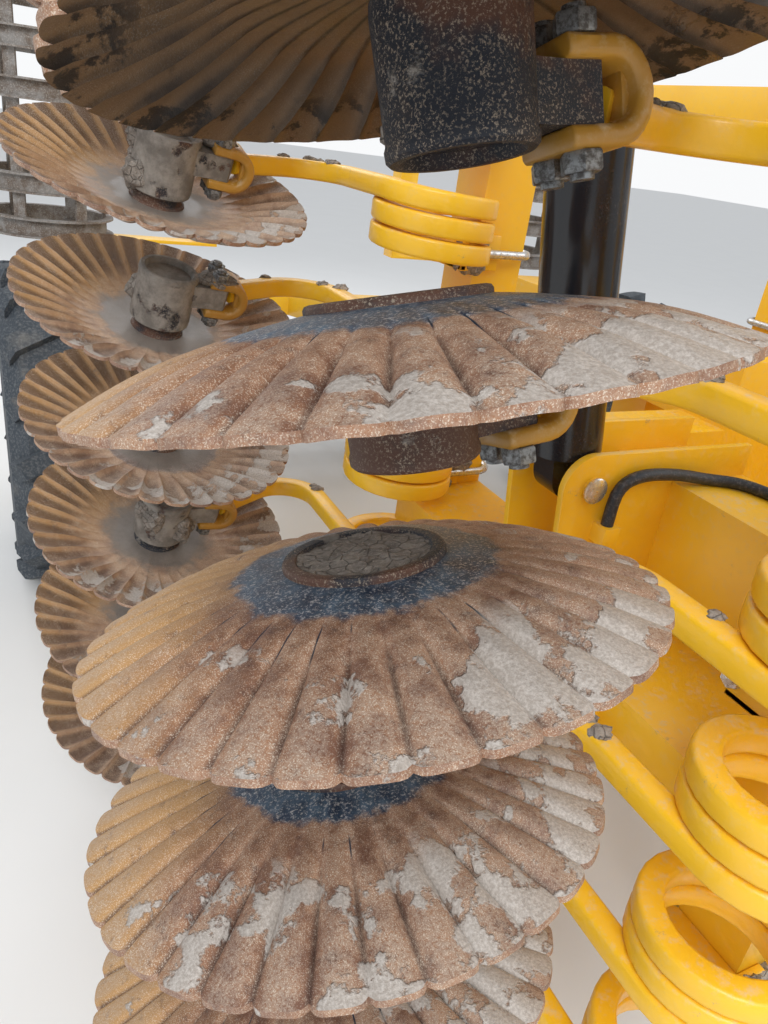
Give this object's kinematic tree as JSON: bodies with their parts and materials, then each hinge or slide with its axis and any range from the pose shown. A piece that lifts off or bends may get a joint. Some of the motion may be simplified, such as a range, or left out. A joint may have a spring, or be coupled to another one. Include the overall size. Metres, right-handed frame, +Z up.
{
  "type": "disc harrow",
  "caption": "Trailed folding disc harrow with fluted discs on coiled spring arms, ring rollers and a transport axle",
  "frame": {"origin": "On the ground under the middle of the machine at rest, with its wings folded up", "axes": "+Y forward to the towing eye, +X to the machine's right, +Z up"},
  "size_m": [3.04, 6.2, 2.1615],
  "materials": {
    "disc_steel": "rusted and muddy",
    "yellow_paint": "dusty yellow paint",
    "roller_steel": "muddy grey steel",
    "black_paint": "dusty black paint",
    "rod_chrome": "polished",
    "rim_paint": "dusty pale paint",
    "tyre_rubber": "dusty",
    "hose_rubber": "dusty"
  },
  "bodies": {
    "chassis": {"centre_frame": "yellow_paint", "rear_frame": "yellow_paint", "axle": "yellow_paint", "drawbar": "yellow_paint", "towing_eye": "black_paint", "arms_front_centre": "yellow_paint", "arms_rear_centre": "yellow_paint", "cylinder_brackets": "yellow_paint", "hoses": "hose_rubber"},
    "wing_left": {"wing_frame_left": "yellow_paint", "arms_front_left": "yellow_paint", "arms_rear_left": "yellow_paint"},
    "wing_right": {"wing_frame_right": "yellow_paint", "arms_front_right": "yellow_paint", "arms_rear_right": "yellow_paint"},
    "transport_wheel_left": {"wheel_left": "rim_paint", "tyre_left": "tyre_rubber"},
    "transport_wheel_right": {"wheel_right": "rim_paint", "tyre_right": "tyre_rubber"},
    "roller_centre_body": {"centre_roller": "roller_steel"},
    "roller_left_body": {"wing_roller_left": "roller_steel"},
    "roller_right_body": {"wing_roller_right": "roller_steel"},
    "barrel_left_body": {"fold_barrel_left": "black_paint"},
    "barrel_right_body": {"fold_barrel_right": "black_paint"},
    "rod_left_body": {"fold_rod_left": "rod_chrome"},
    "rod_right_body": {"fold_rod_right": "rod_chrome"},
    "jack_body": {"jack": "black_paint"},
    "disc_front_left_1_body": {"disc_front_left_1": "disc_steel"},
    "disc_front_left_2_body": {"disc_front_left_2": "disc_steel"},
    "disc_front_left_3_body": {"disc_front_left_3": "disc_steel"},
    "disc_front_left_4_body": {"disc_front_left_4": "disc_steel"},
    "disc_front_left_5_body": {"disc_front_left_5": "disc_steel"},
    "disc_front_left_6_body": {"disc_front_left_6": "disc_steel"},
    "disc_front_left_7_body": {"disc_front_left_7": "disc_steel"},
    "disc_front_centre_1_body": {"disc_front_centre_1": "disc_steel"},
    "disc_front_centre_2_body": {"disc_front_centre_2": "disc_steel"},
    "disc_front_right_1_body": {"disc_front_right_1": "disc_steel"},
    "disc_front_right_2_body": {"disc_front_right_2": "disc_steel"},
    "disc_front_right_3_body": {"disc_front_right_3": "disc_steel"},
    "disc_front_right_4_body": {"disc_front_right_4": "disc_steel"},
    "disc_front_right_5_body": {"disc_front_right_5": "disc_steel"},
    "disc_front_right_6_body": {"disc_front_right_6": "disc_steel"},
    "disc_front_right_7_body": {"disc_front_right_7": "disc_steel"},
    "disc_rear_left_1_body": {"disc_rear_left_1": "disc_steel"},
    "disc_rear_left_2_body": {"disc_rear_left_2": "disc_steel"},
    "disc_rear_left_3_body": {"disc_rear_left_3": "disc_steel"},
    "disc_rear_left_4_body": {"disc_rear_left_4": "disc_steel"},
    "disc_rear_left_5_body": {"disc_rear_left_5": "disc_steel"},
    "disc_rear_left_6_body": {"disc_rear_left_6": "disc_steel"},
    "disc_rear_left_7_body": {"disc_rear_left_7": "disc_steel"},
    "disc_rear_centre_1_body": {"disc_rear_centre_1": "disc_steel"},
    "disc_rear_centre_2_body": {"disc_rear_centre_2": "disc_steel"},
    "disc_rear_right_1_body": {"disc_rear_right_1": "disc_steel"},
    "disc_rear_right_2_body": {"disc_rear_right_2": "disc_steel"},
    "disc_rear_right_3_body": {"disc_rear_right_3": "disc_steel"},
    "disc_rear_right_4_body": {"disc_rear_right_4": "disc_steel"},
    "disc_rear_right_5_body": {"disc_rear_right_5": "disc_steel"},
    "disc_rear_right_6_body": {"disc_rear_right_6": "disc_steel"},
    "disc_rear_right_7_body": {"disc_rear_right_7": "disc_steel"}
  },
  "joints": [
    {"name": "fold_left", "type": "hinge", "parent": "chassis", "child": "wing_left", "pos_m": [-0.8, 0.2, 0.879], "axis": [0, -1, 0], "range_deg": [0, 90]},
    {"name": "fold_right", "type": "hinge", "parent": "chassis", "child": "wing_right", "pos_m": [0.8, 0.2, 0.879], "axis": [0, 1, 0], "range_deg": [0, 90]},
    {"name": "barrel_left", "type": "hinge", "parent": "chassis", "child": "barrel_left_body", "pos_m": [-0.635, 0.2, 1.24], "axis": [0, -1, 0], "range_deg": [0, 94]},
    {"name": "rod_left", "type": "slide", "parent": "barrel_left_body", "child": "rod_left_body", "axis": [-0.1856, 0, 0.9826], "range_m": [0, 0.557]},
    {"name": "barrel_right", "type": "hinge", "parent": "chassis", "child": "barrel_right_body", "pos_m": [0.635, 0.2, 1.24], "axis": [0, 1, 0], "range_deg": [0, 94]},
    {"name": "rod_right", "type": "slide", "parent": "barrel_right_body", "child": "rod_right_body", "axis": [0.1856, 0, 0.9826], "range_m": [0, 0.557]},
    {"name": "wheel_spin_left", "type": "hinge", "parent": "chassis", "child": "transport_wheel_left", "pos_m": [-1.275, -1.846, 0.585], "axis": [1, 0, 0], "continuous": true},
    {"name": "wheel_spin_right", "type": "hinge", "parent": "chassis", "child": "transport_wheel_right", "pos_m": [1.275, -1.846, 0.585], "axis": [1, 0, 0], "continuous": true},
    {"name": "roller_spin_centre", "type": "hinge", "parent": "chassis", "child": "roller_centre_body", "pos_m": [0, -2.82, 0.439], "axis": [1, 0, 0], "continuous": true},
    {"name": "roller_spin_left", "type": "hinge", "parent": "wing_left", "child": "roller_left_body", "pos_m": [-1.24, -2.82, 1.579], "axis": [0, 0, 1], "continuous": true},
    {"name": "roller_spin_right", "type": "hinge", "parent": "wing_right", "child": "roller_right_body", "pos_m": [1.24, -2.82, 1.579], "axis": [0, 0, 1], "continuous": true},
    {"name": "spin_front_left_1", "type": "hinge", "parent": "wing_left", "child": "disc_front_left_1_body", "pos_m": [-1.2, 0.6, 0.36], "axis": [-0.1392, -0.273, -0.9519], "continuous": true},
    {"name": "spin_front_left_2", "type": "hinge", "parent": "wing_left", "child": "disc_front_left_2_body", "pos_m": [-1.2, 0.6, 0.61], "axis": [-0.1392, -0.273, -0.9519], "continuous": true},
    {"name": "spin_front_left_3", "type": "hinge", "parent": "wing_left", "child": "disc_front_left_3_body", "pos_m": [-1.2, 0.6, 0.86], "axis": [-0.1392, -0.273, -0.9519], "continuous": true},
    {"name": "spin_front_left_4", "type": "hinge", "parent": "wing_left", "child": "disc_front_left_4_body", "pos_m": [-1.2, 0.6, 1.11], "axis": [-0.1392, -0.273, -0.9519], "continuous": true},
    {"name": "spin_front_left_5", "type": "hinge", "parent": "wing_left", "child": "disc_front_left_5_body", "pos_m": [-1.2, 0.6, 1.36], "axis": [-0.1392, -0.273, -0.9519], "continuous": true},
    {"name": "spin_front_left_6", "type": "hinge", "parent": "wing_left", "child": "disc_front_left_6_body", "pos_m": [-1.2, 0.6, 1.61], "axis": [-0.1392, -0.273, -0.9519], "continuous": true},
    {"name": "spin_front_left_7", "type": "hinge", "parent": "wing_left", "child": "disc_front_left_7_body", "pos_m": [-1.2, 0.6, 1.86], "axis": [-0.1392, -0.273, -0.9519], "continuous": true},
    {"name": "spin_front_centre_1", "type": "hinge", "parent": "chassis", "child": "disc_front_centre_1_body", "pos_m": [-0.031, 0.6, 0.479], "axis": [0.9519, -0.273, -0.1392], "continuous": true},
    {"name": "spin_front_centre_2", "type": "hinge", "parent": "chassis", "child": "disc_front_centre_2_body", "pos_m": [0.219, 0.6, 0.479], "axis": [0.9519, -0.273, -0.1392], "continuous": true},
    {"name": "spin_front_right_1", "type": "hinge", "parent": "wing_right", "child": "disc_front_right_1_body", "pos_m": [1.2, 0.6, 0.548], "axis": [0.1392, -0.273, 0.9519], "continuous": true},
    {"name": "spin_front_right_2", "type": "hinge", "parent": "wing_right", "child": "disc_front_right_2_body", "pos_m": [1.2, 0.6, 0.798], "axis": [0.1392, -0.273, 0.9519], "continuous": true},
    {"name": "spin_front_right_3", "type": "hinge", "parent": "wing_right", "child": "disc_front_right_3_body", "pos_m": [1.2, 0.6, 1.048], "axis": [0.1392, -0.273, 0.9519], "continuous": true},
    {"name": "spin_front_right_4", "type": "hinge", "parent": "wing_right", "child": "disc_front_right_4_body", "pos_m": [1.2, 0.6, 1.298], "axis": [0.1392, -0.273, 0.9519], "continuous": true},
    {"name": "spin_front_right_5", "type": "hinge", "parent": "wing_right", "child": "disc_front_right_5_body", "pos_m": [1.2, 0.6, 1.548], "axis": [0.1392, -0.273, 0.9519], "continuous": true},
    {"name": "spin_front_right_6", "type": "hinge", "parent": "wing_right", "child": "disc_front_right_6_body", "pos_m": [1.2, 0.6, 1.798], "axis": [0.1392, -0.273, 0.9519], "continuous": true},
    {"name": "spin_front_right_7", "type": "hinge", "parent": "wing_right", "child": "disc_front_right_7_body", "pos_m": [1.2, 0.6, 2.048], "axis": [0.1392, -0.273, 0.9519], "continuous": true},
    {"name": "spin_rear_left_1", "type": "hinge", "parent": "wing_left", "child": "disc_rear_left_1_body", "pos_m": [-1.2, -0.46, 0.548], "axis": [-0.1392, -0.273, 0.9519], "continuous": true},
    {"name": "spin_rear_left_2", "type": "hinge", "parent": "wing_left", "child": "disc_rear_left_2_body", "pos_m": [-1.2, -0.46, 0.798], "axis": [-0.1392, -0.273, 0.9519], "continuous": true},
    {"name": "spin_rear_left_3", "type": "hinge", "parent": "wing_left", "child": "disc_rear_left_3_body", "pos_m": [-1.2, -0.46, 1.048], "axis": [-0.1392, -0.273, 0.9519], "continuous": true},
    {"name": "spin_rear_left_4", "type": "hinge", "parent": "wing_left", "child": "disc_rear_left_4_body", "pos_m": [-1.2, -0.46, 1.298], "axis": [-0.1392, -0.273, 0.9519], "continuous": true},
    {"name": "spin_rear_left_5", "type": "hinge", "parent": "wing_left", "child": "disc_rear_left_5_body", "pos_m": [-1.2, -0.46, 1.548], "axis": [-0.1392, -0.273, 0.9519], "continuous": true},
    {"name": "spin_rear_left_6", "type": "hinge", "parent": "wing_left", "child": "disc_rear_left_6_body", "pos_m": [-1.2, -0.46, 1.798], "axis": [-0.1392, -0.273, 0.9519], "continuous": true},
    {"name": "spin_rear_left_7", "type": "hinge", "parent": "wing_left", "child": "disc_rear_left_7_body", "pos_m": [-1.2, -0.46, 2.048], "axis": [-0.1392, -0.273, 0.9519], "continuous": true},
    {"name": "spin_rear_centre_1", "type": "hinge", "parent": "chassis", "child": "disc_rear_centre_1_body", "pos_m": [-0.219, -0.46, 0.479], "axis": [-0.9519, -0.273, -0.1392], "continuous": true},
    {"name": "spin_rear_centre_2", "type": "hinge", "parent": "chassis", "child": "disc_rear_centre_2_body", "pos_m": [0.031, -0.46, 0.479], "axis": [-0.9519, -0.273, -0.1392], "continuous": true},
    {"name": "spin_rear_right_1", "type": "hinge", "parent": "wing_right", "child": "disc_rear_right_1_body", "pos_m": [1.2, -0.46, 0.36], "axis": [0.1392, -0.273, -0.9519], "continuous": true},
    {"name": "spin_rear_right_2", "type": "hinge", "parent": "wing_right", "child": "disc_rear_right_2_body", "pos_m": [1.2, -0.46, 0.61], "axis": [0.1392, -0.273, -0.9519], "continuous": true},
    {"name": "spin_rear_right_3", "type": "hinge", "parent": "wing_right", "child": "disc_rear_right_3_body", "pos_m": [1.2, -0.46, 0.86], "axis": [0.1392, -0.273, -0.9519], "continuous": true},
    {"name": "spin_rear_right_4", "type": "hinge", "parent": "wing_right", "child": "disc_rear_right_4_body", "pos_m": [1.2, -0.46, 1.11], "axis": [0.1392, -0.273, -0.9519], "continuous": true},
    {"name": "spin_rear_right_5", "type": "hinge", "parent": "wing_right", "child": "disc_rear_right_5_body", "pos_m": [1.2, -0.46, 1.36], "axis": [0.1392, -0.273, -0.9519], "continuous": true},
    {"name": "spin_rear_right_6", "type": "hinge", "parent": "wing_right", "child": "disc_rear_right_6_body", "pos_m": [1.2, -0.46, 1.61], "axis": [0.1392, -0.273, -0.9519], "continuous": true},
    {"name": "spin_rear_right_7", "type": "hinge", "parent": "wing_right", "child": "disc_rear_right_7_body", "pos_m": [1.2, -0.46, 1.86], "axis": [0.1392, -0.273, -0.9519], "continuous": true},
    {"name": "jack_swing", "type": "hinge", "parent": "chassis", "child": "jack_body", "pos_m": [0.11, 2.15, 0.77434], "axis": [-1, 0, 0], "range_deg": [0, 90]}
  ],
  "couplings": [
    {"joint": "barrel_left", "follows": "fold_left", "ratio": 1.0438},
    {"joint": "rod_left", "follows": "fold_left", "m_per_rad": 0.35428},
    {"joint": "barrel_right", "follows": "fold_right", "ratio": 1.0438},
    {"joint": "rod_right", "follows": "fold_right", "m_per_rad": 0.35428}
  ]
}
